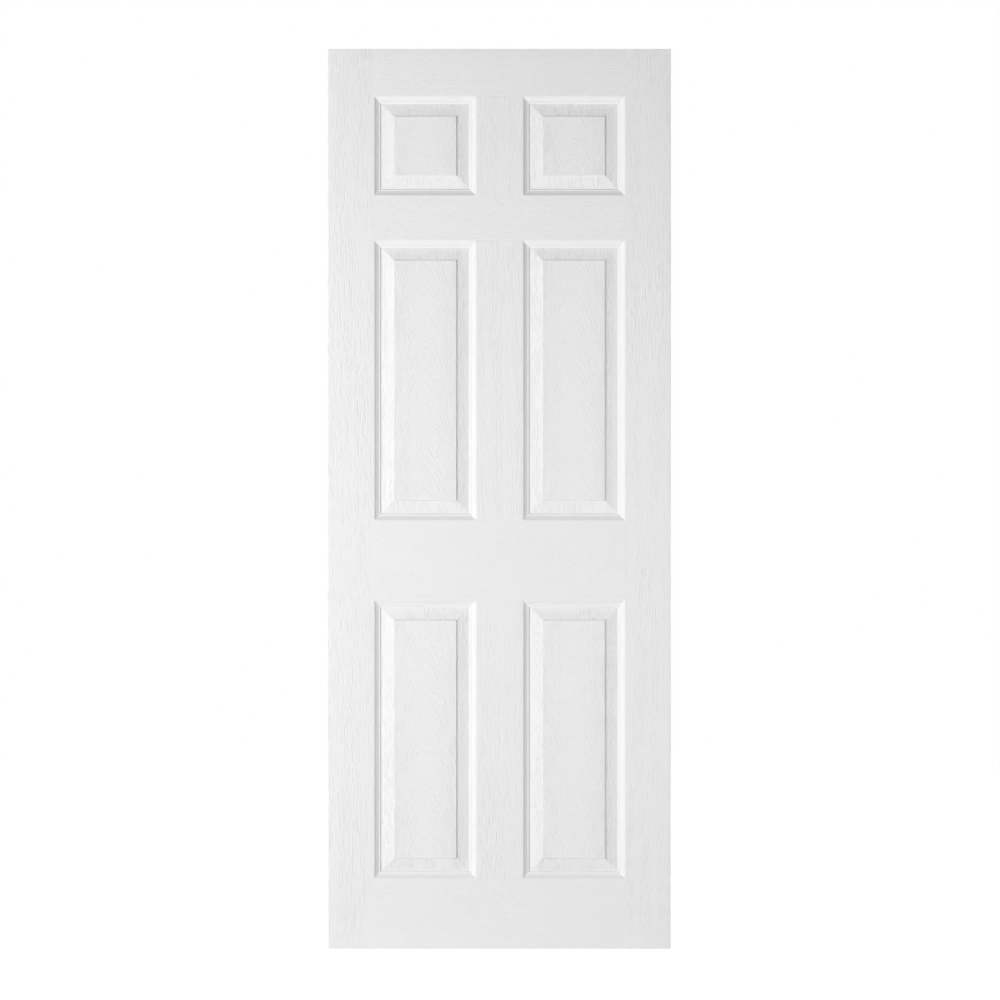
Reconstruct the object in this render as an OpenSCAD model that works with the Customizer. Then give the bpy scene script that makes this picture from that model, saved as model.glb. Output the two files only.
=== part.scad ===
// Six-panel moulded interior door leaf.
// Two pressed fibreboard skins are glued over a softwood frame with two lock blocks and a paper core.
// Millimetres. The origin is the middle of the bottom edge, +Z is up, and the front faces -Y.

/* [Leaf] */
// Width of the leaf
leaf_w = 800; // [700:1:1000]
// Height of the leaf
leaf_h = 2100; // [1960:1:2400]
// Thickness of the leaf over both skins
leaf_t = 35; // [32:0.5:50]

/* [Panel layout] */
// Width of the moulded stiles, from the leaf's edge to the panels
face_stile_w = 106; // [90:1:130]
// Width of the mullion between the two columns of panels
mullion_w = 106; // [60:1:160]
// Height of the moulded top rail
face_top_rail_h = 109; // [80:1:160]
// Height of the small top panels
top_panel_h = 234; // [180:1:320]
// Height of the frieze rail below the top panels
frieze_rail_h = 102; // [60:1:160]
// Height of the lock rail between the middle and the bottom panels
lock_rail_h = 184; // [100:1:260]
// Height of the bottom panels
bottom_panel_h = 652; // [400:1:780]
// Height of the moulded bottom rail
face_bottom_rail_h = 163; // [110:1:280]

/* [Skins] */
// Thickness of each pressed skin
skin_t = 3.2; // [2.5:0.1:4]

/* [Panel moulding] */
// Width of the rolled edge beside the face
roll_w = 6; // [3:0.1:7]
// Slope of the roll at its foot, in degrees
roll_slope = 66; // [40:1:72]
// Width of the ovolo below the roll
ovolo_w = 6; // [4:0.1:8]
// Slope of the ovolo at its foot, in degrees
ovolo_slope = 44; // [25:1:50]
// Width of the flat fillet below the ovolo
fillet_w = 3.2; // [1.5:0.1:4]
// Width of the step from the fillet into the groove
step_w = 1.9; // [1:0.1:4]
// Width of the groove's floor
groove_w = 1.8; // [1:0.1:6]
// Depth of the groove's floor below the face
groove_depth = 11; // [9:0.1:12]
// Width of the bevel that rises from the groove
bevel_w = 27.8; // [18:0.1:40]
// Width of the lip between the bevel and the raised field
lip_w = 1.5; // [0.8:0.1:3]
// Height of the lip
lip_rise = 3.6; // [0.5:0.1:4]
// Depth of the raised field below the face
field_depth = 0.8; // [0:0.1:3]

/* [Timber frame] */
// Width of the timber stiles inside the leaf
stile_w = 33; // [24:1:50]
// Height of the timber rails inside the leaf
rail_h = 33; // [24:1:60]
// Height of the lock blocks
block_h = 500; // [250:5:700]
// Height of the lock blocks' middle above the bottom edge
block_z = 1000; // [800:5:1150]
// Gap between a lock block and the back of the pressed panels
block_gap = 6; // [1:0.5:15]

/* [Corner staples] */
// Width of a staple across its crown
staple_w = 25; // [16:1:40]
// Length of a staple's legs
staple_leg = 12; // [6:0.5:13]
// Thickness of the staple's square wire
staple_wire = 1.4; // [0.8:0.1:2]

/* [Paper core] */
// Width of a honeycomb cell, from wall to wall
core_cell = 80; // [50:1:110]
// Thickness of the honeycomb's paper walls
core_wall = 0.6; // [0.4:0.1:1.5]
// Gap between the honeycomb and the timber round it
core_gap = 2; // [1:0.5:10]

/* [Hidden] */

// How far a cutting or joining shape runs past the face that it meets.
overlap = 1;
// Flat steps in each curved run of the moulding.
curve_steps = 6;
// Slopes at the head of the roll and of the ovolo, in degrees.
roll_head = 5;
ovolo_head = 20;

skin_colour = "whitesmoke";
timber_colour = "burlywood";
block_colour = "tan";
paper_colour = "peru";
steel_colour = "silver";

// Each panel takes what the moulded stiles, rails and mullion leave.
panel_w = (leaf_w - 2 * face_stile_w - mullion_w) / 2;
middle_panel_h = leaf_h - face_top_rail_h - top_panel_h - frieze_rail_h
    - lock_rail_h - bottom_panel_h - face_bottom_rail_h;
middle_panel_z = face_bottom_rail_h + bottom_panel_h + lock_rail_h;
top_panel_z = leaf_h - face_top_rail_h - top_panel_h;
panel_columns = [-mullion_w / 2 - panel_w, mullion_w / 2];
panel_rows = [
    [face_bottom_rail_h, bottom_panel_h],
    [middle_panel_z, middle_panel_h],
    [top_panel_z, top_panel_h]
];

// The frame and the core fill the space between the skins.
core_t = leaf_t - 2 * skin_t;
frame_inner_w = leaf_w - 2 * stile_w;

function last(list) = list[len(list) - 1];
function unit(v) = v / norm(v);
function normal(v) = [-v.y, v.x];

// A round run of the moulding: it leaves point p, crosses a width and turns from slope a to slope b.
function run(p, width, a, b) =
    let (r = width / (sin(b) - sin(a)))
    [for (i = [1:curve_steps])
        let (slope = a + (b - a) * i / curve_steps)
        p + r * [sin(slope) - sin(a), cos(a) - cos(slope)]];

// A path at distance t below the given one. Both start and end level.
function parallel(path, t) =
    [for (i = [0:len(path) - 1])
        let (
            before = i == 0 ? [1, 0] : unit(path[i] - path[i - 1]),
            after = i == len(path) - 1 ? [1, 0] : unit(path[i + 1] - path[i])
        )
        path[i] + t * (normal(before) + normal(after)) / (1 + before * after)];

// The moulding's section, as points [distance in from the panel's edge, depth below the face].
roll = run([0, 0], roll_w, roll_head, roll_slope);
ovolo = run(last(roll), ovolo_w, ovolo_head, ovolo_slope);
fillet_end = last(ovolo) + [fillet_w, 0];
groove_start = [fillet_end.x + step_w, groove_depth];
groove_end = groove_start + [groove_w, 0];
bevel_end = [groove_end.x + bevel_w, field_depth + lip_rise];
field_edge = [bevel_end.x + lip_w, field_depth];
face_wall = concat([[0, 0]], roll, ovolo, [fillet_end, groove_start]);
face_rise = [groove_end, bevel_end, field_edge];

// The back of the skin follows the same section, one skin thickness below, without the fine curves.
back_path = parallel(
    [[0, 0], last(ovolo), fillet_end, groove_start, groove_end, bevel_end, field_edge], skin_t
);
back_wall = [for (i = [0:3]) back_path[i]];
back_rise = [for (i = [4:6]) back_path[i]];

// A lock block fills the moulded stile's width between the timber stile and the pressed panels.
block_w = face_stile_w + back_wall[0].x - block_gap - stile_w;

// A bar whose section follows a path in from both edges of a width, along X or along Y.
module bar(width, length, path, cap, along_x) {
    outline = concat(
        [[path[0].x, cap]],
        [for (p = path) [p.x, -p.y]],
        [for (i = [len(path) - 1:-1:0]) [width - path[i].x, -path[i].y]],
        [[width - path[0].x, cap]]
    );
    turned = along_x ? [90, 0, 90] : [90, 0, 0];
    shift = along_x ? [-overlap, 0, 0] : [0, length + overlap, 0];
    translate(shift)
        rotate(turned)
            linear_extrude(length + 2 * overlap)
                polygon(outline);
}

// The two bars cross, and where they cross the sides of the form are mitred at each corner.
module mitred_form(w, h, path, cap) {
    intersection() {
        bar(w, h, path, cap, false);
        bar(h, w, path, cap, true);
    }
}

// A panel's pressed form: a dish with moulded walls round a raised and fielded middle.
module pressed_form(w, h, wall, rise) {
    difference() {
        mitred_form(w, h, wall, overlap - wall[0].y);
        mitred_form(w, h, rise, -rise[0].y - overlap);
    }
}

// Places a face that is drawn in X and Y, looking along -Z, on the front of the leaf.
module on_front() {
    translate([0, -leaf_t / 2, 0])
        rotate([90, 0, 0])
            children();
}

module half_turn() {
    rotate([0, 0, 180])
        children();
}

module pressed_skin() {
    difference() {
        union() {
            translate([-leaf_w / 2, 0, -skin_t])
                cube([leaf_w, leaf_h, skin_t]);
            for (x = panel_columns, row = panel_rows)
                translate([x, row[0], 0])
                    pressed_form(panel_w, row[1], back_wall, back_rise);
        }
        for (x = panel_columns, row = panel_rows)
            translate([x, row[0], 0])
                pressed_form(panel_w, row[1], face_wall, face_rise);
    }
}

module front_skin() {
    color(skin_colour)
        on_front()
            pressed_skin();
}

module back_skin() {
    color(skin_colour)
        half_turn()
            on_front()
                pressed_skin();
}

// A staple lies across a butt joint, with its crown flush and its legs in the timber.
module staple() {
    translate([-staple_w / 2, 0, -staple_wire / 2]) {
        cube([staple_w, staple_wire, staple_wire]);
        for (x = [0, staple_w - staple_wire])
            translate([x, 0, 0])
                cube([staple_wire, staple_leg, staple_wire]);
    }
}

// One staple in each face at each corner of the frame.
module staples() {
    for (side = [-1, 1], z = [rail_h / 2, leaf_h - rail_h / 2])
        translate([side * frame_inner_w / 2, 0, z]) {
            translate([0, -core_t / 2, 0])
                staple();
            half_turn()
                translate([0, -core_t / 2, 0])
                    staple();
        }
}

module corner_staples() {
    color(steel_colour)
        staples();
}

module timber_stile() {
    difference() {
        translate([-leaf_w / 2, -core_t / 2, 0])
            cube([stile_w, core_t, leaf_h]);
        staples();
    }
}

module hinge_stile() {
    color(timber_colour)
        timber_stile();
}

module lock_stile() {
    color(timber_colour)
        half_turn()
            timber_stile();
}

module timber_rail(z) {
    difference() {
        translate([-frame_inner_w / 2, -core_t / 2, z])
            cube([frame_inner_w, core_t, rail_h]);
        staples();
    }
}

module top_rail() {
    color(timber_colour)
        timber_rail(leaf_h - rail_h);
}

module bottom_rail() {
    color(timber_colour)
        timber_rail(0);
}

module lock_block() {
    translate([-frame_inner_w / 2, -core_t / 2, block_z - block_h / 2])
        cube([block_w, core_t, block_h]);
}

module hinge_side_block() {
    color(block_colour)
        lock_block();
}

module lock_side_block() {
    color(block_colour)
        half_turn()
            lock_block();
}

// The room for the honeycomb inside the frame and beside the lock blocks, seen from the front.
module core_outline(inset) {
    w = frame_inner_w - 2 * core_gap;
    h = leaf_h - 2 * rail_h - 2 * core_gap;
    notch = core_gap + inset;
    difference() {
        translate([inset - w / 2, inset + rail_h + core_gap])
            square([w - 2 * inset, h - 2 * inset]);
        for (x = [-frame_inner_w / 2, frame_inner_w / 2 - block_w])
            translate([x - notch, block_z - block_h / 2 - notch])
                square([block_w + 2 * notch, block_h + 2 * notch]);
    }
}

// Every cell of the honeycomb, over the whole leaf and past its edges.
module honeycomb_cells() {
    row_step = core_cell * sqrt(3) / 2;
    columns = ceil(leaf_w / core_cell / 2);
    rows = ceil(leaf_h / row_step / 2);
    translate([0, leaf_h / 2])
        for (j = [-rows:rows], i = [-columns:columns])
            translate([(i + abs(j % 2) / 2) * core_cell, j * row_step])
                rotate(30)
                    circle(r = (core_cell - core_wall) / sqrt(3), $fn = 6);
}

// The expanded paper, with one ribbon of it folded round the outline.
module honeycomb_sheet() {
    difference() {
        core_outline(0);
        intersection() {
            core_outline(core_wall);
            honeycomb_cells();
        }
    }
}

// Where a pressed panel crushes the paper: down to the groove all round, and a little at the field.
module crushed_pocket(w, h) {
    margin = core_gap - back_wall[0].x;
    field_inset = back_rise[2].x + core_gap;
    groove_floor = -back_rise[0].y;
    field_floor = -back_rise[2].y;
    difference() {
        translate([-margin, -margin, groove_floor])
            cube([w + 2 * margin, h + 2 * margin, overlap - skin_t - groove_floor]);
        translate([field_inset, field_inset, groove_floor - overlap])
            cube([w - 2 * field_inset, h - 2 * field_inset, field_floor - groove_floor + overlap]);
    }
}

module crushed_pockets() {
    on_front()
        for (x = panel_columns, row = panel_rows)
            translate([x, row[0], 0])
                crushed_pocket(panel_w, row[1]);
}

module honeycomb_core() {
    color(paper_colour)
        difference() {
            translate([0, core_t / 2, 0])
                rotate([90, 0, 0])
                    linear_extrude(core_t)
                        honeycomb_sheet();
            crushed_pockets();
            half_turn()
                crushed_pockets();
        }
}

front_skin();
back_skin();
hinge_stile();
lock_stile();
top_rail();
bottom_rail();
hinge_side_block();
lock_side_block();
honeycomb_core();
corner_staples();
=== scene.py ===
"""A six-panel moulded door leaf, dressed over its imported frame.

The two pressed skins are modelled as closed sheets with soft arrises and mitred mouldings, and carry
a white primer with embossed woodgrain. The timber, the paper core and the staples keep their solids
and get finishes of their own. Every length is in metres, and every scale is in features per metre.
"""

from __future__ import annotations

import logging
import math
from dataclasses import dataclass, field
from enum import Enum

import bpy
import numpy as np
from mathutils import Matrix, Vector

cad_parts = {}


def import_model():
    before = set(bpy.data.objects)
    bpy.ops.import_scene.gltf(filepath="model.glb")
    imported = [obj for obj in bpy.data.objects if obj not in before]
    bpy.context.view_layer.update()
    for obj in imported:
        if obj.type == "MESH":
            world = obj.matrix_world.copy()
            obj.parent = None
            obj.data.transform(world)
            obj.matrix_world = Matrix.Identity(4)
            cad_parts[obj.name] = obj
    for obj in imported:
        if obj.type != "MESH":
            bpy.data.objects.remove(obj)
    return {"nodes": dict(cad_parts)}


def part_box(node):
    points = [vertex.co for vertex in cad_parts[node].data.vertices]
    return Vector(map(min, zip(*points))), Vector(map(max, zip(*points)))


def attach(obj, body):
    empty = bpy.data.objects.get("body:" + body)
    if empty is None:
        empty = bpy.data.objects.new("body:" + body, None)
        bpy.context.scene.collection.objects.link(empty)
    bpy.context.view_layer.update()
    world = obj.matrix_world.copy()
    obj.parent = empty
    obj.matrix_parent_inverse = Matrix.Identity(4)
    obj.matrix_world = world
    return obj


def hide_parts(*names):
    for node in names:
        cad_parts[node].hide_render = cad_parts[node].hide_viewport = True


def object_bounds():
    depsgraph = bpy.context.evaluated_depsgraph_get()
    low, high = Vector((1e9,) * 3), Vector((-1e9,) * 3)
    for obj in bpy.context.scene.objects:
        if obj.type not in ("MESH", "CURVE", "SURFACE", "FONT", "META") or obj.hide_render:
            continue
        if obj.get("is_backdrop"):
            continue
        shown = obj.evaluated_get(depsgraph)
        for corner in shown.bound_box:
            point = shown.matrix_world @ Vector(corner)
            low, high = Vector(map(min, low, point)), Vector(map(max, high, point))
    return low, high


Colour = tuple[float, float, float]
Place = tuple[float, float, float]
Range = tuple[float, float]
Spans = list[tuple[float, float]]
Socket = bpy.types.NodeSocket
Value = Socket | float

LOG = logging.getLogger("door_leaf")
MM = 0.001
BODY = "root"
WHITE = (1.0, 1.0, 1.0, 1.0)

# The name of the map that gives each point its place on its own board: across the grain, along it.
BOARD_MAP = "board"
# Each board's places are shifted across by a multiple of this, so that no two boards share a pattern.
BOARD_STEP = 1.0
# Nearly all of a noise's values lie in this range.
NOISE_RANGE: Range = (0.3, 0.7)
# A face is cut along the mitre if its corners lie further than this from one plane.
FLAT_ENOUGH = 0.001 * MM


@dataclass(frozen=True)
class Fleck:
    """An even noise: its scale, how many finer octaves it has and how strongly those show."""

    scale: float
    octaves: float = 1.0
    rough: float = 0.5


@dataclass(frozen=True)
class Mark:
    """The usual size of one kind of mark in the grain, and how many finer octaves it has."""

    width: float
    length: float
    octaves: float = 1.0


@dataclass(frozen=True)
class GrainRun:
    """How the embossed grain shows on a stretch of the skin.

    Attributes:
        strength: The share of the primer's full relief and of the shade painted into its pores.
        wander: How far the grain strays from its line.
        dash_length: The usual length of a pore.
        fibre_length: The usual length of a fibre.
        spread: How much wider apart the marks lie than on a straight run.
        pore_share: How deep the pores are, and how dark their painted shade, against those of a straight
            run.
    """

    strength: float
    wander: float = 12 * MM
    dash_length: float = 13 * MM
    fibre_length: float = 7 * MM
    spread: float = 1.0
    pore_share: float = 1.0


class Figure(Enum):
    """How the woodgrain runs on each kind of stretch of the pressed skin."""

    UPRIGHT = GrainRun(strength=1.0, wander=3 * MM, dash_length=32 * MM, fibre_length=18 * MM)
    LEVEL = GrainRun(strength=0.6)
    MOULDED = GrainRun(strength=0.3)
    BEVEL = GrainRun(strength=1.4, wander=8 * MM, dash_length=18 * MM, fibre_length=9 * MM)
    CATHEDRAL = GrainRun(strength=1.0, wander=24 * MM, spread=3.1, pore_share=0.5)


class Face(Enum):
    """Which side of the leaf a pressed skin covers: 1 as drawn, -1 half a turn round the upright axis."""

    FRONT = 1.0
    BACK = -1.0


class NodeBench:
    """A new material's node tree, with short calls for the nodes that the finishes use."""

    def __init__(self, name: str) -> None:
        """Start a material that holds one Principled shader.

        Args:
            name: The material's name.
        """
        self.material = bpy.data.materials.new(name)
        self.material.use_nodes = True
        self.tree = self.material.node_tree
        self.shader = next(n for n in self.tree.nodes if n.type == "BSDF_PRINCIPLED")

    def add(self, kind: str) -> bpy.types.Node:
        """Add a node of the given kind."""
        return self.tree.nodes.new(kind)

    def feed(self, socket: Socket, value: Value | Colour) -> None:
        """Link a socket to an output, or set it to a constant.

        Args:
            socket: The input to feed.
            value: An output socket, a number or a colour.
        """
        if isinstance(value, bpy.types.NodeSocket):
            self.tree.links.new(value, socket)
        elif isinstance(value, tuple):
            socket.default_value = (*value, 1.0)
        else:
            socket.default_value = value

    def math(self, operation: str, *values: Value) -> Socket:
        """Do one sum on numbers or sockets.

        Args:
            operation: Blender's name for the operation.
            *values: The operands, in order.

        Returns:
            The result's socket.
        """
        node = self.add("ShaderNodeMath")
        node.operation = operation
        for socket, value in zip(node.inputs, values):
            self.feed(socket, value)
        return node.outputs[0]

    def total(self, *values: Value) -> Socket:
        """Add up two or more values."""
        result = values[0]
        for value in values[1:]:
            result = self.math("ADD", result, value)
        return result

    def vector(self, x: Value, y: Value, z: Value) -> Socket:
        """Combine three values into a vector."""
        node = self.add("ShaderNodeCombineXYZ")
        for socket, value in zip(node.inputs, (x, y, z)):
            self.feed(socket, value)
        return node.outputs[0]

    def parts(self, vector: Socket) -> tuple[Socket, Socket, Socket]:
        """Split a vector into its three parts."""
        node = self.add("ShaderNodeSeparateXYZ")
        self.feed(node.inputs[0], vector)
        return node.outputs[0], node.outputs[1], node.outputs[2]

    def place(self) -> Socket:
        """Give the point's place in the leaf's own frame."""
        return self.add("ShaderNodeTexCoord").outputs["Object"]

    def attribute(self, name: str) -> Socket:
        """Read a named map of the mesh as a vector."""
        node = self.add("ShaderNodeAttribute")
        node.attribute_name = name
        return node.outputs["Vector"]

    def flecks(self, fleck: Fleck, place: Socket | None = None) -> Socket:
        """Sample smooth noise between 0 and 1.

        Args:
            fleck: The noise's scale and octaves.
            place: Where to sample, or none for the point's own place.

        Returns:
            The noise's value.
        """
        node = self.add("ShaderNodeTexNoise")
        self.feed(node.inputs["Vector"], self.place() if place is None else place)
        node.inputs["Scale"].default_value = fleck.scale
        node.inputs["Detail"].default_value = fleck.octaves
        node.inputs["Roughness"].default_value = fleck.rough
        return node.outputs[0]

    def marks(self, across: Socket, along: Socket, seed: Socket, mark: Mark) -> Socket:
        """Strew marks of one size over a board, as noise that is drawn out along the grain.

        Args:
            across: The place across the grain.
            along: The place along the grain.
            seed: The board's own seed.
            mark: The marks' size.

        Returns:
            The noise's value, between 0 and 1.
        """
        wide = self.math("DIVIDE", across, mark.width)
        long = self.math("DIVIDE", along, mark.length)
        return self.flecks(Fleck(1.0, mark.octaves), self.vector(wide, long, seed))

    def ramp(self, value: Socket, low: float, high: float, start: float = 0.0, end: float = 1.0) -> Socket:
        """Map a value smoothly from one range to another.

        Args:
            value: The value to map.
            low: The value that gives start.
            high: The value that gives end.
            start: The result at and below low.
            end: The result at and above high.

        Returns:
            The mapped value.
        """
        node = self.add("ShaderNodeMapRange")
        node.interpolation_type = "SMOOTHSTEP"
        for socket, number in zip(node.inputs, (value, low, high, start, end)):
            self.feed(socket, number)
        return node.outputs[0]

    def mix(self, share: Socket, first: Colour | Socket, second: Colour | Socket) -> Socket:
        """Blend two colours by a share.

        Args:
            share: 0 for the first colour, 1 for the second.
            first: A colour or a colour socket.
            second: A colour or a colour socket.

        Returns:
            The blended colour.
        """
        node = self.add("ShaderNodeMix")
        node.data_type = "RGBA"
        first_colour, second_colour = (s for s in node.inputs if s.type == "RGBA")
        self.feed(node.inputs["Factor"], share)
        self.feed(first_colour, first)
        self.feed(second_colour, second)
        return next(s for s in node.outputs if s.type == "RGBA")

    def finish(self, colour: Socket, roughness: Socket, height: Socket) -> bpy.types.Material:
        """Wire up the shader.

        Args:
            colour: The surface's colour.
            roughness: How rough the surface is.
            height: The height of its relief in metres.

        Returns:
            The finished material.
        """
        dents = self.add("ShaderNodeBump")
        dents.inputs["Strength"].default_value = 1.0
        dents.inputs["Distance"].default_value = 1.0
        self.feed(dents.inputs["Height"], height)
        self.feed(self.shader.inputs["Base Color"], colour)
        self.feed(self.shader.inputs["Roughness"], roughness)
        self.feed(self.shader.inputs["Normal"], dents.outputs[0])
        return self.material


@dataclass(frozen=True)
class PrimerFinish:
    """White satin primer over embossed woodgrain on the pressed skins, with shade painted into its pores.
    """

    colour: Colour = (0.86, 0.856, 0.862)
    # Painted shade: the pores and ring lines are mixed towards this darker colour by this share, standing
    # in for the shade that falls in the embossed hollows.
    pore_painted_shade_colour: Colour = (0.62, 0.615, 0.62)
    pore_painted_shade: float = 0.10
    roughness: Range = (0.48, 0.60)
    sheen: Fleck = Fleck(14.0, 3.0)
    stipple: Fleck = Fleck(330.0, 2.0, 0.6)
    stipple_depth: float = 0.46 * MM
    seed_step: float = 3.7
    drift: Mark = Mark(143 * MM, 417 * MM)
    band: Mark = Mark(18 * MM, 625 * MM)
    band_range: Range = (0.26, 0.56)
    dash_width: float = 2.33 * MM
    dash_range: Range = (0.5, 0.66)
    dash_depth: float = 0.36 * MM
    fibre_width: float = 1.92 * MM
    fibre_depth: float = 0.38 * MM
    fine_octaves: float = 1.5
    streak: Mark = Mark(3.0 * MM, 200 * MM)
    streak_depth: float = 0.30 * MM
    arch_slope: float = 1.2
    arch_bend: float = 10.0
    arch_steepen: float = 230.0
    arch_round: float = 5 * MM
    ring_gap: float = 26 * MM
    ring_unrest: Mark = Mark(38 * MM, 111 * MM)
    ring_line: float = 0.14
    ring_break: Mark = Mark(9 * MM, 42 * MM)
    ring_break_range: Range = (0.42, 0.55)
    ring_depth: float = 0.46 * MM
    faint_tip: float = 40 * MM
    tip_share: float = 0.35

    def board_place(self, bench: NodeBench) -> tuple[Socket, Socket, Socket]:
        """Find where a point lies on its board.

        Args:
            bench: The material's nodes.

        Returns:
            The place across the board from its middle, the place along it, and the board's own seed.
        """
        across, along, _ = bench.parts(bench.attribute(BOARD_MAP))
        local = bench.math("WRAP", across, -BOARD_STEP / 2, BOARD_STEP / 2)
        seed = bench.math("MULTIPLY", bench.math("SUBTRACT", across, local), self.seed_step)
        return local, along, seed

    def arch(self, bench: NodeBench, across: Socket, along: Socket) -> Socket:
        """Bend the grain into nested arches with their tips on the board's middle line.

        Args:
            bench: The material's nodes.
            across: The place across the board.
            along: The place along the board.

        Returns:
            The height of the arch that each point lies on.
        """
        square = bench.math("MULTIPLY", across, across)
        flank = bench.math("SQRT", bench.math("ADD", square, self.arch_round**2))
        sides = bench.math("MULTIPLY", flank, self.arch_slope)
        steeper = bench.math("MULTIPLY_ADD", flank, self.arch_steepen, self.arch_bend)
        return bench.total(along, sides, bench.math("MULTIPLY", square, steeper))

    def rings(self, bench: NodeBench, arch: Socket, across: Socket, along: Socket, seed: Socket) -> Socket:
        """Draw the ring lines along the arches, broken into dashes.

        Args:
            bench: The material's nodes.
            arch: The height of each point's arch.
            across: The place across the board.
            along: The place along the board.
            seed: The board's own seed.

        Returns:
            How far each point lies in a ring line, from 0 to 1.
        """
        unrest = bench.marks(across, along, seed, self.ring_unrest)
        turns = bench.math("MULTIPLY_ADD", arch, 1.0 / self.ring_gap, unrest)
        swing = bench.math("PINGPONG", turns, 0.5)
        line = bench.ramp(swing, 0.0, self.ring_line, 1.0, 0.0)
        breaks = bench.ramp(bench.marks(across, along, seed, self.ring_break), *self.ring_break_range)
        flank = bench.ramp(bench.math("ABSOLUTE", across), 0.0, self.faint_tip, self.tip_share, 1.0)
        return bench.math("MULTIPLY", bench.math("MULTIPLY", line, breaks), flank)

    def relief(self, bench: NodeBench, figure: Figure) -> tuple[Socket, Socket]:
        """Emboss the grain.

        Args:
            bench: The material's nodes.
            figure: How the grain runs.

        Returns:
            How far each point lies in a pore or ring line from 0 to 1, which also sets the painted shade,
            and the height of the surface.
        """
        run, arched = figure.value, figure is Figure.CATHEDRAL
        across, along, seed = self.board_place(bench)
        drift = bench.marks(across, along, seed, self.drift)
        wander = bench.math("MULTIPLY_ADD", drift, run.wander, -run.wander / 2)
        line = bench.math("ADD", self.arch(bench, across, along) if arched else across, wander)
        grain = bench.math("DIVIDE", line, run.spread)
        dash = Mark(self.dash_width, run.dash_length, self.fine_octaves)
        fibre = Mark(self.fibre_width, run.fibre_length, self.fine_octaves)
        bands = bench.ramp(bench.marks(grain, along, seed, self.band), *self.band_range)
        dashes = bench.ramp(bench.marks(grain, along, seed, dash), *self.dash_range)
        pores = bench.math("MULTIPLY", bench.math("MULTIPLY", bands, dashes), run.pore_share)
        height = bench.total(
            bench.math("MULTIPLY", pores, -self.dash_depth),
            bench.math("MULTIPLY", bench.marks(grain, along, seed, self.streak), self.streak_depth),
            bench.math("MULTIPLY", bench.marks(grain, along, seed, fibre), self.fibre_depth),
        )
        if arched:
            rings = self.rings(bench, line, across, along, seed)
            height = bench.math("MULTIPLY_ADD", rings, -self.ring_depth, height)
            # The ring lines join the pores in the painted shade.
            pores = bench.math("MAXIMUM", pores, rings)
        return pores, height

    def material(self, figure: Figure) -> bpy.types.Material:
        """Make the primer for one run of the grain.

        Args:
            figure: How the grain runs.

        Returns:
            The material.
        """
        bench = NodeBench(f"primer_{figure.name.lower()}")
        pores, grain = self.relief(bench, figure)
        strength = figure.value.strength
        peel = bench.math("MULTIPLY", bench.flecks(self.stipple), self.stipple_depth)
        # Painted shade: the primer's colour is darkened in the pores and ring lines.
        shade = bench.math("MULTIPLY", pores, self.pore_painted_shade * strength)
        return bench.finish(
            colour=bench.mix(shade, self.colour, self.pore_painted_shade_colour),
            roughness=bench.ramp(bench.flecks(self.sheen), *NOISE_RANGE, *self.roughness),
            height=bench.math("MULTIPLY_ADD", grain, strength, peel),
        )


@dataclass(frozen=True)
class FibreboardFinish:
    """Bare pressed fibreboard, as on the back of a skin and on its trimmed ends."""

    light: Colour = (0.36, 0.22, 0.12)
    dark: Colour = (0.24, 0.14, 0.075)
    light_range: Range = (0.12, 0.4)
    roughness: Range = (0.68, 0.86)
    cloud: Fleck = Fleck(60.0, 2.0)
    fibre: Fleck = Fleck(1400.0, 3.0, 0.7)
    fibre_depth: float = 0.05 * MM

    def material(self) -> bpy.types.Material:
        """Make the fibreboard."""
        bench = NodeBench("bare_fibreboard")
        fibre, cloud = bench.flecks(self.fibre), bench.flecks(self.cloud)
        share = bench.ramp(bench.math("MULTIPLY", fibre, cloud), *self.light_range)
        return bench.finish(
            colour=bench.mix(share, self.dark, self.light),
            roughness=bench.ramp(cloud, *NOISE_RANGE, *self.roughness),
            height=bench.math("MULTIPLY", fibre, self.fibre_depth),
        )


@dataclass(frozen=True)
class SoftwoodFinish:
    """Planed softwood, with primer on the faces that close the leaf's long edges."""

    name: str
    grain_axis: int
    early: Colour = (0.68, 0.50, 0.31)
    late: Colour = (0.50, 0.31, 0.16)
    late_range: Range = (0.42, 0.66)
    roughness: Range = (0.62, 0.5)
    ring: Fleck = Fleck(130.0, 3.0, 0.55)
    ring_depth: float = 0.06 * MM
    stretch: float = 0.035
    primer: Colour = (0.85, 0.847, 0.85)
    show_through: float = 0.07
    primed_beyond: float | None = None

    def rings(self, bench: NodeBench) -> Socket:
        """Draw the growth rings along the piece.

        Args:
            bench: The material's nodes.

        Returns:
            0 in early wood and 1 in late wood.
        """
        parts = list(bench.parts(bench.place()))
        parts[self.grain_axis] = bench.math("MULTIPLY", parts[self.grain_axis], self.stretch)
        return bench.flecks(self.ring, bench.vector(*parts))

    def material(self) -> bpy.types.Material:
        """Make the softwood."""
        bench = NodeBench(self.name)
        rings = self.rings(bench)
        share = bench.ramp(rings, *self.late_range)
        colour = bench.mix(share, self.early, self.late)
        if self.primed_beyond is not None:
            side = bench.math("ABSOLUTE", bench.parts(bench.place())[0])
            primed = bench.math("GREATER_THAN", side, self.primed_beyond)
            tint = bench.mix(bench.math("MULTIPLY", share, self.show_through), self.primer, self.late)
            colour = bench.mix(primed, colour, tint)
        return bench.finish(
            colour=colour,
            roughness=bench.ramp(rings, *NOISE_RANGE, *self.roughness),
            height=bench.math("MULTIPLY", rings, self.ring_depth),
        )


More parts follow.
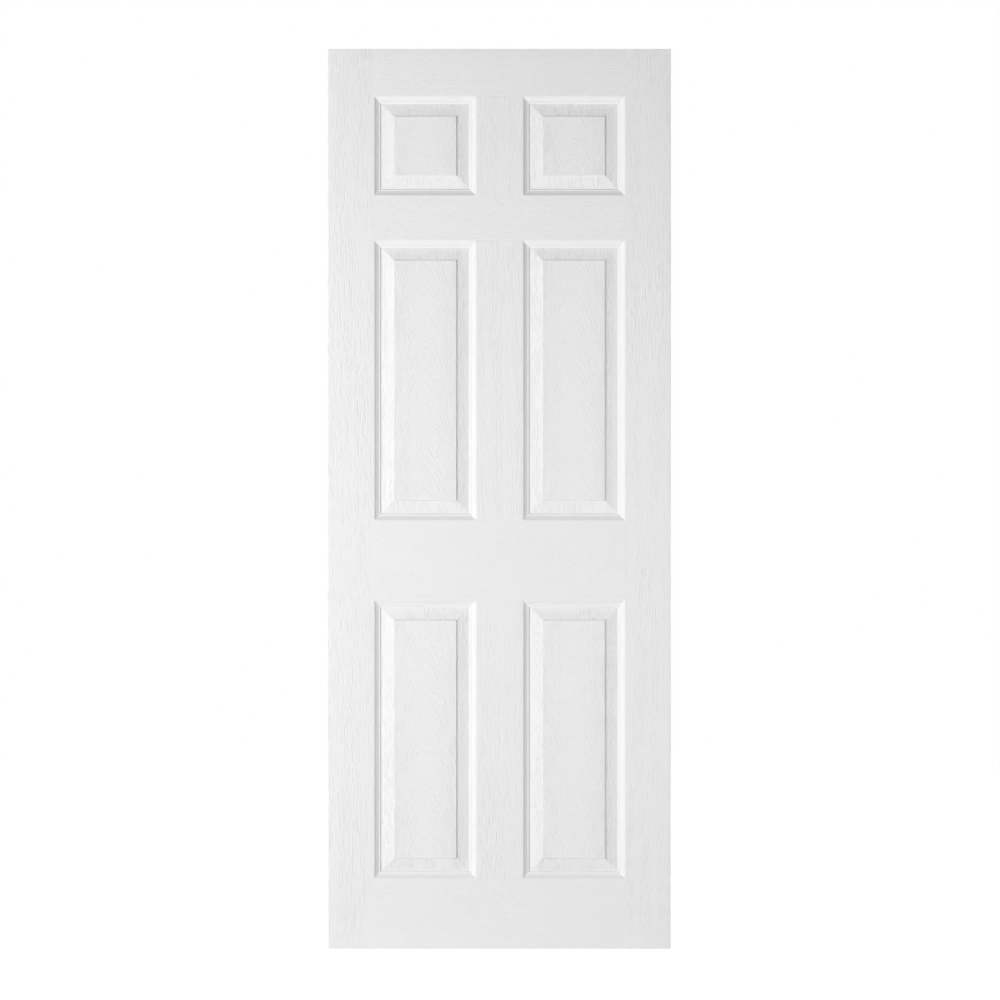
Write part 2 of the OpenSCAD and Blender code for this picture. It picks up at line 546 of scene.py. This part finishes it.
@dataclass(frozen=True)
class KraftFinish:
    """Plain kraft paper of the honeycomb."""

    light: Colour = (0.46, 0.32, 0.19)
    dark: Colour = (0.34, 0.22, 0.12)
    light_range: Range = (0.35, 0.65)
    roughness: Range = (0.75, 0.9)
    fibre: Fleck = Fleck(500.0, 4.0, 0.65)
    fibre_depth: float = 0.03 * MM

    def material(self) -> bpy.types.Material:
        """Make the paper."""
        bench = NodeBench("kraft_paper")
        fibre = bench.flecks(self.fibre)
        return bench.finish(
            colour=bench.mix(bench.ramp(fibre, *self.light_range), self.dark, self.light),
            roughness=bench.ramp(fibre, *NOISE_RANGE, *self.roughness),
            height=bench.math("MULTIPLY", fibre, self.fibre_depth),
        )


@dataclass(frozen=True)
class WireFinish:
    """Drawn steel wire of the corner staples."""

    bright: Colour = (0.60, 0.60, 0.61)
    dull: Colour = (0.42, 0.42, 0.43)
    dull_range: Range = (0.4, 0.7)
    roughness: Range = (0.28, 0.45)
    draw: Fleck = Fleck(2500.0, 2.0)
    draw_depth: float = 0.01 * MM

    def material(self) -> bpy.types.Material:
        """Make the wire."""
        bench = NodeBench("staple_wire")
        bench.shader.inputs["Metallic"].default_value = 1.0
        draw = bench.flecks(self.draw)
        return bench.finish(
            colour=bench.mix(bench.ramp(draw, *self.dull_range), self.bright, self.dull),
            roughness=bench.ramp(draw, *NOISE_RANGE, *self.roughness),
            height=bench.math("MULTIPLY", draw, self.draw_depth),
        )


@dataclass(frozen=True)
class MouldingSection:
    """The section of a panel's moulding, from the face of the leaf in to the raised field."""

    roll_width: float = 6.0 * MM
    roll_slopes: Range = (5.0, 66.0)
    ovolo_width: float = 6.0 * MM
    ovolo_slopes: Range = (20.0, 44.0)
    fillet_width: float = 3.2 * MM
    step_width: float = 1.9 * MM
    groove_width: float = 1.8 * MM
    groove_depth: float = 11.0 * MM
    bevel_width: float = 27.8 * MM
    lip_width: float = 1.5 * MM
    lip_rise: float = 3.6 * MM
    field_depth: float = 0.8 * MM
    softness: float = 0.16 * MM
    blur_reach: float = 4.0
    run_out: float = 4.0 * MM
    margin: float = 1.0 * MM
    sample_step: float = 0.04 * MM
    turn_per_line: float = 10.0
    longest_gap: float = 12.0 * MM
    curve_steps: int = 24

    def curve(self, start: np.ndarray, width: float, slopes: Range) -> np.ndarray:
        """Follow a round run of the moulding.

        Args:
            start: Where it starts, as distance in and depth.
            width: How far it runs in.
            slopes: Its slope at the start and at the end, in degrees.

        Returns:
            Points along the run, without its start.
        """
        low, high = np.radians(slopes)
        radius = width / (math.sin(high) - math.sin(low))
        slope = np.linspace(low, high, self.curve_steps + 1)[1:]
        run, fall = np.sin(slope) - math.sin(low), math.cos(low) - np.cos(slope)
        return start + radius * np.column_stack((run, fall))

    def corners(self) -> tuple[np.ndarray, np.ndarray]:
        """Draw the section with sharp arrises.

        Returns:
            All the points of the section, and the few where its back bends, as distance in and depth.
        """
        face_edge = np.zeros(2)
        roll = self.curve(face_edge, self.roll_width, self.roll_slopes)
        ovolo = self.curve(roll[-1], self.ovolo_width, self.ovolo_slopes)
        fillet_end = ovolo[-1] + (self.fillet_width, 0.0)
        groove_start = np.array((fillet_end[0] + self.step_width, self.groove_depth))
        groove_end = groove_start + (self.groove_width, 0.0)
        bevel_end = np.array((groove_end[0] + self.bevel_width, self.field_depth + self.lip_rise))
        field_edge = np.array((bevel_end[0] + self.lip_width, self.field_depth))
        inner = (fillet_end, groove_start, groove_end, bevel_end, field_edge)
        return np.vstack((face_edge, roll, ovolo, *inner)), np.vstack((face_edge, ovolo[-1], *inner))

    @property
    def groove_end(self) -> float:
        """Distance in at which the moulding ends and the panel's bevel begins."""
        return self.roll_width + self.ovolo_width + self.fillet_width + self.step_width + self.groove_width

    @property
    def width(self) -> float:
        """Distance in at which the raised field begins."""
        return self.groove_end + self.bevel_width + self.lip_width

    def soft_section(self) -> tuple[np.ndarray, np.ndarray]:
        """Sample the section with its arrises softened by the pressing and the paint.

        Returns:
            Distances in, and the depth at each.
        """
        points, _ = self.corners()
        distance = np.arange(-self.run_out, self.width + self.run_out, self.sample_step)
        sharp = np.interp(distance, points[:, 0], points[:, 1])
        span = math.ceil(self.blur_reach * self.softness / self.sample_step)
        kernel = np.exp(-0.5 * (np.arange(-span, span + 1) * self.sample_step / self.softness) ** 2)
        padded = np.pad(sharp, span, mode="edge")
        return distance, np.convolve(padded, kernel / kernel.sum(), mode="valid")

    def lines(self) -> np.ndarray:
        """Choose where mesh lines run.

        They lie close together where the section turns and further apart where it is flat.

        Returns:
            Distances in from the panel's edge.
        """
        distance, depth = self.soft_section()
        kept = (distance >= -self.margin) & (distance <= self.width + self.margin)
        distance, depth = distance[kept], depth[kept]
        slope = np.degrees(np.arctan(np.gradient(depth, distance)))
        turn = np.concatenate(([0.0], np.cumsum(np.abs(np.diff(slope)))))
        measure = turn / self.turn_per_line + (distance - distance[0]) / self.longest_gap
        count = math.ceil(measure[-1])
        return np.interp(np.linspace(0.0, measure[-1], count + 1), measure, distance)

    def back(self, thickness: float) -> np.ndarray:
        """Draw the skin's back, one thickness below the section.

        Args:
            thickness: The skin's thickness.

        Returns:
            Points of the back, as distance in and depth.
        """
        _, points = self.corners()
        level = np.array([[1.0, 0.0]])
        step = np.diff(points, axis=0)
        step = np.vstack((level, step / np.linalg.norm(step, axis=1, keepdims=True), level))
        normal = np.column_stack((-step[:, 1], step[:, 0]))
        spread = 1.0 + np.sum(step[:-1] * step[1:], axis=1, keepdims=True)
        return points + thickness * (normal[:-1] + normal[1:]) / spread


@dataclass
class Sheet:
    """A surface over a grid of lines, which numbers its points and lists its faces and its rim."""

    x: np.ndarray
    z: np.ndarray
    depth: np.ndarray
    first: int = 0

    def index(self, i: np.ndarray | int, j: np.ndarray | int) -> np.ndarray | int:
        """Give the number of the point on line i across and line j up."""
        return self.first + np.asarray(i) * len(self.z) + np.asarray(j)

    def points(self) -> np.ndarray:
        """Give every point as x, depth and z."""
        across, up = np.meshgrid(self.x, self.z, indexing="ij")
        return np.column_stack((across.ravel(), self.depth.ravel(), up.ravel()))

    def faces(self, outward: bool) -> list[tuple[int, ...]]:
        """List the faces, and cut each one that a mitre crosses along that mitre.

        Args:
            outward: True where the faces look out of the leaf.

        Returns:
            The corners of each face.
        """
        i, j = (n.ravel() for n in np.indices((len(self.x) - 1, len(self.z) - 1)))
        going_round = ((0, 0), (1, 0), (1, 1), (0, 1))
        corners = [self.index(i + right, j + up) for right, up in going_round]
        deep = [self.depth[i + right, j + up] for right, up in going_round]
        bent = np.abs(deep[0] + deep[2] - deep[1] - deep[3]) > FLAT_ENOUGH
        rising = np.abs(deep[1] - deep[3]) <= np.abs(deep[0] - deep[2])
        faces: list[tuple[int, ...]] = []
        for p, q, r, s, cut, upward in zip(*(v.tolist() for v in (*corners, bent, rising))):
            if not cut:
                faces.append((p, q, r, s))
            elif upward:
                faces += [(p, q, r), (p, r, s)]
            else:
                faces += [(p, q, s), (q, r, s)]
        return faces if outward else [face[::-1] for face in faces]

    def rim(self) -> list[list[int]]:
        """List the points along the bottom, the right, the top and the left edge, going round."""
        right, top = len(self.x) - 1, len(self.z) - 1
        across, up = np.arange(right + 1), np.arange(top + 1)
        return [
            self.index(across, 0).tolist(),
            self.index(right, up).tolist(),
            self.index(across[::-1], top).tolist(),
            self.index(0, up[::-1]).tolist(),
        ]


@dataclass
class PanelLayout:
    """Where the moulded stiles, rails, mullions and panels lie on the face of the leaf."""

    width: float
    height: float
    stile: float = 106 * MM
    mullion: float = 106 * MM
    top_rail: float = 109 * MM
    top_panel: float = 234 * MM
    frieze_rail: float = 102 * MM
    lock_rail: float = 184 * MM
    bottom_panel: float = 652 * MM
    bottom_rail: float = 163 * MM

    @property
    def columns(self) -> Spans:
        """The sides of each column of panels, from left to right."""
        outer = self.width / 2 - self.stile
        return [(-outer, -self.mullion / 2), (self.mullion / 2, outer)]

    @property
    def rows(self) -> Spans:
        """The foot and the head of each row of panels, from the bottom up."""
        bottom = (self.bottom_rail, self.bottom_rail + self.bottom_panel)
        top_head = self.height - self.top_rail
        top = (top_head - self.top_panel, top_head)
        middle = (bottom[1] + self.lock_rail, top[0] - self.frieze_rail)
        return [bottom, middle, top]

    @staticmethod
    def inset(place: np.ndarray, spans: Spans) -> np.ndarray:
        """Measure how far places lie inside the nearest of some spans.

        Args:
            place: Places along one direction.
            spans: The start and the end of each span.

        Returns:
            The distance to the nearer end, below zero outside every span.
        """
        return np.max([np.minimum(place - low, high - place) for low, high in spans], axis=0)

    @staticmethod
    def strips(place: np.ndarray, low: float, high: float, spans: Spans) -> tuple[np.ndarray, np.ndarray]:
        """Number the strips that some spans and the gaps beside them make.

        Args:
            place: Places along one direction.
            low: Where the leaf starts.
            high: Where the leaf ends.
            spans: The start and the end of each span.

        Returns:
            The number of the strip that each place lies in, and the middle of each strip.
        """
        edges = np.array((low, *np.ravel(spans), high))
        return np.digitize(place, edges[1:-1]), (edges[:-1] + edges[1:]) / 2


@dataclass
class MouldedSkin:
    """One pressed skin: a closed sheet with six mitred panels and eased outer arrises."""

    name: str
    node: str
    face: Face
    primer: dict[Figure, bpy.types.Material]
    board: bpy.types.Material
    section: MouldingSection = field(default_factory=MouldingSection)
    joint_half: float = 0.9 * MM
    joint_depth: float = 0.3 * MM
    joint_lines: int = 7
    thickness: float = 3.2 * MM
    arris: float = 0.7 * MM
    arris_steps: int = 8
    flat_gap: float = 40 * MM
    crease: float = 13.0

    def __post_init__(self) -> None:
        """Take the outline from the node that this skin stands for."""
        low, high = (Vector(corner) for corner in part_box(self.node))
        self.half_leaf = max(abs(low.y), abs(high.y))
        self.layout = PanelLayout(width=high.x - low.x, height=high.z - low.z)

    def eased_lines(self) -> np.ndarray:
        """Give the distances in from the leaf's edge of the lines round its eased arris."""
        turn = np.linspace(0.0, math.pi / 2, self.arris_steps + 1)
        return self.arris * (1.0 - np.cos(turn))

    def grid(self, low: float, high: float, spans: Spans) -> np.ndarray:
        """Lay out the mesh lines across one direction of the face.

        Args:
            low: Where the leaf starts.
            high: Where the leaf ends.
            spans: The panels' spans in that direction.

        Returns:
            The lines' places, in order.
        """
        joint, step = np.linspace(-self.joint_half, self.joint_half, self.joint_lines, retstep=True)
        section, eased = self.section.lines(), self.eased_lines()
        moulding = np.concatenate((joint, section[section > self.joint_half + step / 2]))
        runs = [low + eased]
        for start, end in spans:
            runs += [start + moulding, end - moulding[::-1]]
        runs.append(high - eased[::-1])
        lines = [runs[0]]
        for before, after in zip(runs, runs[1:]):
            count = max(1, math.ceil((after[0] - before[-1]) / self.flat_gap))
            lines += [np.linspace(before[-1], after[0], count + 1)[1:-1], after]
        return np.concatenate(lines)

    def outer_sheet(self) -> Sheet:
        """Build the moulded face.

        Returns:
            The face's grid, with the depth of each point below the flat of the leaf.
        """
        plan = self.layout
        x = self.grid(-plan.width / 2, plan.width / 2, plan.columns)
        z = self.grid(0.0, plan.height, plan.rows)
        inset = np.minimum.outer(plan.inset(x, plan.columns), plan.inset(z, plan.rows))
        depth = np.interp(inset, *self.section.soft_section())
        depth += self.joints(x, z)
        edge = np.minimum.outer(plan.width / 2 - np.abs(x), np.minimum(z, plan.height - z))
        inside = np.clip(self.arris - edge, 0.0, self.arris)
        eased = self.arris - np.sqrt(self.arris**2 - inside**2)
        return Sheet(x, z, np.maximum(depth, eased))

    def joints(self, x: np.ndarray, z: np.ndarray) -> np.ndarray:
        """Score the joints of the rails with the stiles and of the mullions with the rails.

        Args:
            x: The mesh lines across the leaf.
            z: The mesh lines up the leaf.

        Returns:
            The depth of the scored lines over the grid.
        """
        plan = self.layout

        def score(distance: np.ndarray) -> np.ndarray:
            """Give the depth of a scored line at some distance from its middle."""
            near = np.clip(np.abs(distance) / self.joint_half, 0.0, 1.0)
            return self.joint_depth * (0.5 + 0.5 * np.cos(math.pi * near))

        rail = plan.inset(z, plan.rows) <= 0
        mullion = np.abs(x) <= plan.mullion / 2
        ends = np.min([np.abs(z - edge) for edge in np.ravel(plan.rows)], axis=0)
        stile_joint = np.outer(score(np.abs(x) - plan.width / 2 + plan.stile), rail)
        return np.maximum(stile_joint, np.outer(mullion, score(ends)))

    def inner_sheet(self, first: int) -> Sheet:
        """Build the back of the skin, which follows the moulding one thickness below.

        Args:
            first: The number of its first point.

        Returns:
            The back's grid.
        """
        plan, back = self.layout, self.section.back(self.thickness)

        def lines(low: float, high: float, spans: Spans) -> np.ndarray:
            """Lay lines where the back bends."""
            bends = [np.concatenate((start + back[:, 0], end - back[::-1, 0])) for start, end in spans]
            return np.concatenate(([low], *bends, [high]))

        x = lines(-plan.width / 2, plan.width / 2, plan.columns)
        z = lines(0.0, plan.height, plan.rows)
        inset = np.minimum.outer(plan.inset(x, plan.columns), plan.inset(z, plan.rows))
        return Sheet(x, z, np.interp(inset, back[:, 0], back[:, 1]), first)

    def board_places(
        self, points: np.ndarray, faces: list[tuple[int, ...]]
    ) -> tuple[np.ndarray, np.ndarray]:
        """Place every face of the outer sheet on its board.

        Args:
            points: The mesh's points, as x, depth and z.
            faces: The outer sheet's faces.

        Returns:
            The map's place for each corner in order, and the figure's number for each face.
        """
        plan = self.layout
        sizes = np.array([len(face) for face in faces])
        corners = np.concatenate([np.array(face) for face in faces])
        owner = np.repeat(np.arange(len(faces)), sizes)
        middle_x = np.bincount(owner, points[corners, 0]) / sizes
        middle_z = np.bincount(owner, points[corners, 2]) / sizes
        inset_x, inset_z = plan.inset(middle_x, plan.columns), plan.inset(middle_z, plan.rows)
        inset = np.minimum(inset_x, inset_z)
        side_room = plan.width / 2 - np.abs(middle_x)
        rim = np.minimum(side_room, np.minimum(middle_z, plan.height - middle_z)) < self.arris
        stile = side_room < plan.stile
        rail = (inset_z < 0) & ~stile
        moulded = (inset >= 0) & (inset < self.section.groove_end)
        column, column_middles = plan.strips(middle_x, -plan.width / 2, plan.width / 2, plan.columns)
        row, row_middles = plan.strips(middle_z, 0.0, plan.height, plan.rows)
        centre_x = np.where(rail, 0.0, column_middles[column])
        centre_z = np.where(rail | (inset >= 0), row_middles[row], 0.0)
        board = np.where(rail, row, len(row_middles) * (1 + column) + np.where(stile, 0, row))
        x, z = points[corners, 0] - centre_x[owner], points[corners, 2] - centre_z[owner]
        flip = np.where(moulded, inset_z < inset_x, rail)[owner]
        across = np.where(flip, z, x) + BOARD_STEP * (1 + board[owner])
        places = np.column_stack((across, np.where(flip, x, z)))
        return places, self.figure_numbers(rim | moulded, rail, inset)

    def figure_numbers(self, moulded: np.ndarray, rail: np.ndarray, inset: np.ndarray) -> np.ndarray:
        """Choose how the grain runs on each face.

        Args:
            moulded: True on the mouldings and round the leaf's rim.
            rail: True on the rails.
            inset: How far each face lies inside its panel.

        Returns:
            The number of each face's figure.
        """
        cases = (
            (moulded, Figure.MOULDED),
            (rail, Figure.LEVEL),
            (inset < 0, Figure.UPRIGHT),
            (inset < self.section.width, Figure.BEVEL),
        )
        kinds = list(Figure)
        numbers = [kinds.index(kind) for _, kind in cases]
        return np.select([case for case, _ in cases], numbers, kinds.index(Figure.CATHEDRAL))

    def build(self) -> bpy.types.Object:
        """Build the skin as one closed mesh on its side of the leaf.

        Returns:
            The skin's object.
        """
        outer = self.outer_sheet()
        points = outer.points()
        inner = self.inner_sheet(len(points))
        face_set, back_set = outer.faces(True), inner.faces(False)
        sides = [tuple(near[::-1] + far) for near, far in zip(outer.rim(), inner.rim())]
        places, figure = self.board_places(points, face_set)
        points = np.vstack((points, inner.points()))
        side, (x, depth, z) = self.face.value, points.T
        place = np.column_stack((side * x, side * (depth - self.half_leaf), z))
        mesh = bpy.data.meshes.new(self.name)
        mesh.from_pydata(place.tolist(), [], face_set + back_set + sides)
        self.dress(mesh, places, figure, len(back_set))
        mesh.validate()
        skin = bpy.data.objects.new(self.name, mesh)
        bpy.context.scene.collection.objects.link(skin)
        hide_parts(self.node)
        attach(skin, BODY)
        return skin

    def dress(
        self, mesh: bpy.types.Mesh, places: np.ndarray, figure: np.ndarray, back_faces: int
    ) -> None:
        """Give the mesh its board map, its materials and its shading.

        Args:
            mesh: The skin's mesh.
            places: The board map's places for the outer sheet's corners.
            figure: The figure's number for each face of the outer sheet.
            back_faces: How many faces the back has.
        """
        for kind in Figure:
            mesh.materials.append(self.primer[kind])
        mesh.materials.append(self.board)
        bare = len(Figure)
        primed = list(Figure).index(Figure.MOULDED)
        # The bottom and top edges are trimmed bare, and the long edges are primed.
        edges = [bare, primed, bare, primed]
        slots = np.concatenate((figure, np.full(back_faces, bare), edges)).astype(np.int32)
        mesh.polygons.foreach_set("material_index", slots)
        layer = mesh.uv_layers.new(name=BOARD_MAP)
        everywhere = np.zeros((len(mesh.loops), 2))
        everywhere[: len(places)] = places
        layer.data.foreach_set("uv", everywhere.ravel())
        mesh.polygons.foreach_set("use_smooth", np.ones(len(mesh.polygons), dtype=bool))
        mesh.set_sharp_from_angle(angle=math.radians(self.crease))
        mesh.update()


@dataclass
class InnerPieces:
    """The solids between the skins, which keep their shape and get their finishes."""

    leaf_width: float
    primer_reach: float = 0.2 * MM
    block_early: Colour = (0.63, 0.45, 0.27)
    block_ring: Fleck = Fleck(90.0, 3.0, 0.55)

    def finishes(self) -> dict[str, bpy.types.Material]:
        """Make the finish of each inner node.

        Returns:
            Each node's material.
        """
        level, upright = 0, 2
        primed = self.leaf_width / 2 - self.primer_reach
        stile = SoftwoodFinish("stile_softwood", upright, primed_beyond=primed).material()
        rail = SoftwoodFinish("rail_softwood", level).material()
        block = SoftwoodFinish(
            "block_softwood", upright, early=self.block_early, ring=self.block_ring
        ).material()
        return {
            "hinge_stile": stile,
            "lock_stile": stile,
            "top_rail": rail,
            "bottom_rail": rail,
            "hinge_side_block": block,
            "lock_side_block": block,
            "honeycomb_core": KraftFinish().material(),
            "corner_staples": WireFinish().material(),
        }

    def dress(self, nodes: dict[str, bpy.types.Object]) -> None:
        """Put each finish on its node.

        Args:
            nodes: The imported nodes' objects by name.
        """
        for name, material in self.finishes().items():
            piece = nodes[name]
            piece.data.materials.clear()
            piece.data.materials.append(material)
            LOG.info("dressed %s", name)


@dataclass(frozen=True)
class Lamp:
    """A square soft lamp in front of the leaf: where it stands, its side and its power in watts."""

    name: str
    place: Place
    size: float
    power: float

    def stand(self, side: Face, aim: Vector) -> None:
        """Set the lamp up on one side of the leaf.

        Args:
            side: The side of the leaf that it lights.
            aim: The point that it looks at.
        """
        name = f"{side.name.lower()}_{self.name}"
        data = bpy.data.lights.new(name, "AREA")
        data.shape = "SQUARE"
        data.size = self.size
        data.energy = self.power
        lamp = bpy.data.objects.new(name, data)
        x, y, z = self.place
        lamp.location = (side.value * x, side.value * y, z)
        lamp.rotation_euler = (aim - lamp.location).to_track_quat("-Z", "Y").to_euler()
        bpy.context.scene.collection.objects.link(lamp)


@dataclass
class Studio:
    """A plain pale floor, soft lamps on both sides and the camera in front of the leaf."""

    leaf_front: float
    leaf_height: float
    camera_distance: float = 8.0
    sensor: float = 36.0
    frame_pixels: float = 1000.0
    leaf_pixels: float = 900.0
    centre_pixel: tuple[float, float] = (499.5, 499.0)
    key: Lamp = Lamp("key_lamp", (-3.55, -3.75, 0.85), 1.2, 181.0)
    fill: Lamp = Lamp("fill_lamp", (1.9, -2.5, 0.95), 0.9, 19.0)
    sky: float = 0.17
    floor_half: float = 6.0
    floor_drop: float = 0.2 * MM
    floor_paint: Colour = (0.8, 0.8, 0.8)
    floor_glow: float = 0.86

    def camera(self) -> None:
        """Set the camera square to the front, so that the leaf fills the frame as in the photograph."""
        pixel = self.leaf_height / self.leaf_pixels
        lens = self.sensor * self.camera_distance / (self.frame_pixels * pixel)
        middle = self.frame_pixels / 2
        data = bpy.data.cameras.new("front_camera")
        data.sensor_width = self.sensor
        data.lens = lens
        camera = bpy.data.objects.new("front_camera", data)
        camera.location = (
            (middle - self.centre_pixel[0]) * pixel,
            self.leaf_front - self.camera_distance,
            self.leaf_height / 2 - (middle - self.centre_pixel[1]) * pixel,
        )
        camera.rotation_euler = (math.pi / 2, 0.0, 0.0)
        bpy.context.scene.collection.objects.link(camera)
        bpy.context.scene.camera = camera

    @staticmethod
    def seen_rays(tree: bpy.types.NodeTree) -> Socket:
        """Find the rays that show the background itself.

        Args:
            tree: The node tree of a background.

        Returns:
            1 for a camera, glossy or transmission ray, and 0 for any other.
        """
        path = tree.nodes.new("ShaderNodeLightPath")
        seen = path.outputs["Is Camera Ray"]
        for ray in ("Is Glossy Ray", "Is Transmission Ray"):
            either = tree.nodes.new("ShaderNodeMath")
            either.operation = "MAXIMUM"
            tree.links.new(seen, either.inputs[0])
            tree.links.new(path.outputs[ray], either.inputs[1])
            seen = either.outputs[0]
        return seen

    def world(self) -> None:
        """Light the leaf evenly from all round, and show white where nothing stands."""
        world = bpy.data.worlds.new("studio")
        bpy.context.scene.world = world
        world.use_nodes = True
        tree = world.node_tree
        tree.nodes.clear()
        soft, white = tree.nodes.new("ShaderNodeBackground"), tree.nodes.new("ShaderNodeBackground")
        soft.inputs["Strength"].default_value = self.sky
        for shade in (soft, white):
            shade.inputs["Color"].default_value = WHITE
        mix, out = tree.nodes.new("ShaderNodeMixShader"), tree.nodes.new("ShaderNodeOutputWorld")
        tree.links.new(self.seen_rays(tree), mix.inputs[0])
        tree.links.new(soft.outputs[0], mix.inputs[1])
        tree.links.new(white.outputs[0], mix.inputs[2])
        tree.links.new(mix.outputs[0], out.inputs["Surface"])

    def floor(self) -> None:
        """Lay a pale floor that shows white and keeps the leaf's soft shadow."""
        reach = self.floor_half
        mesh = bpy.data.meshes.new("pale_floor")
        corners = [(-reach, -reach, 0.0), (reach, -reach, 0.0), (reach, reach, 0.0), (-reach, reach, 0.0)]
        mesh.from_pydata(corners, [], [(0, 1, 2, 3)])
        material = bpy.data.materials.new("pale_floor")
        material.use_nodes = True
        tree = material.node_tree
        tree.nodes.clear()
        paint, glow = tree.nodes.new("ShaderNodeBsdfDiffuse"), tree.nodes.new("ShaderNodeEmission")
        paint.inputs["Color"].default_value = (*self.floor_paint, 1.0)
        strength = tree.nodes.new("ShaderNodeMath")
        strength.operation = "MULTIPLY"
        tree.links.new(self.seen_rays(tree), strength.inputs[0])
        strength.inputs[1].default_value = self.floor_glow
        tree.links.new(strength.outputs[0], glow.inputs["Strength"])
        both, out = tree.nodes.new("ShaderNodeAddShader"), tree.nodes.new("ShaderNodeOutputMaterial")
        tree.links.new(paint.outputs[0], both.inputs[0])
        tree.links.new(glow.outputs[0], both.inputs[1])
        tree.links.new(both.outputs[0], out.inputs["Surface"])
        mesh.materials.append(material)
        floor = bpy.data.objects.new("pale_floor", mesh)
        floor.location.z = -self.floor_drop
        bpy.context.scene.collection.objects.link(floor)
        floor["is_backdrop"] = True

    def set_up(self) -> None:
        """Set up the whole studio."""
        bpy.context.scene.view_settings.view_transform = "Standard"
        self.camera()
        middle = Vector((0.0, 0.0, self.leaf_height / 2))
        for side in Face:
            self.key.stand(side, middle)
            self.fill.stand(side, middle)
        self.world()
        self.floor()


def main() -> None:
    """Build the leaf's pieces in order and set up the studio round the leaf's measured box."""
    logging.basicConfig(level=logging.INFO, format="%(name)s: %(message)s")
    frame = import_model()
    solid_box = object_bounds()
    low, high = (Vector(corner) for corner in solid_box)
    primer = {kind: PrimerFinish().material(kind) for kind in Figure}
    board = FibreboardFinish().material()
    for name, node, face in (
        ("moulded_front_skin", "front_skin", Face.FRONT),
        ("moulded_back_skin", "back_skin", Face.BACK),
    ):
        skin = MouldedSkin(name, node, face, primer, board).build()
        LOG.info("built %s with %d faces", skin.name, len(skin.data.polygons))
    InnerPieces(leaf_width=high.x - low.x).dress(frame["nodes"])
    Studio(leaf_front=low.y, leaf_height=high.z - low.z).set_up()


if __name__ == "__main__":
    main()
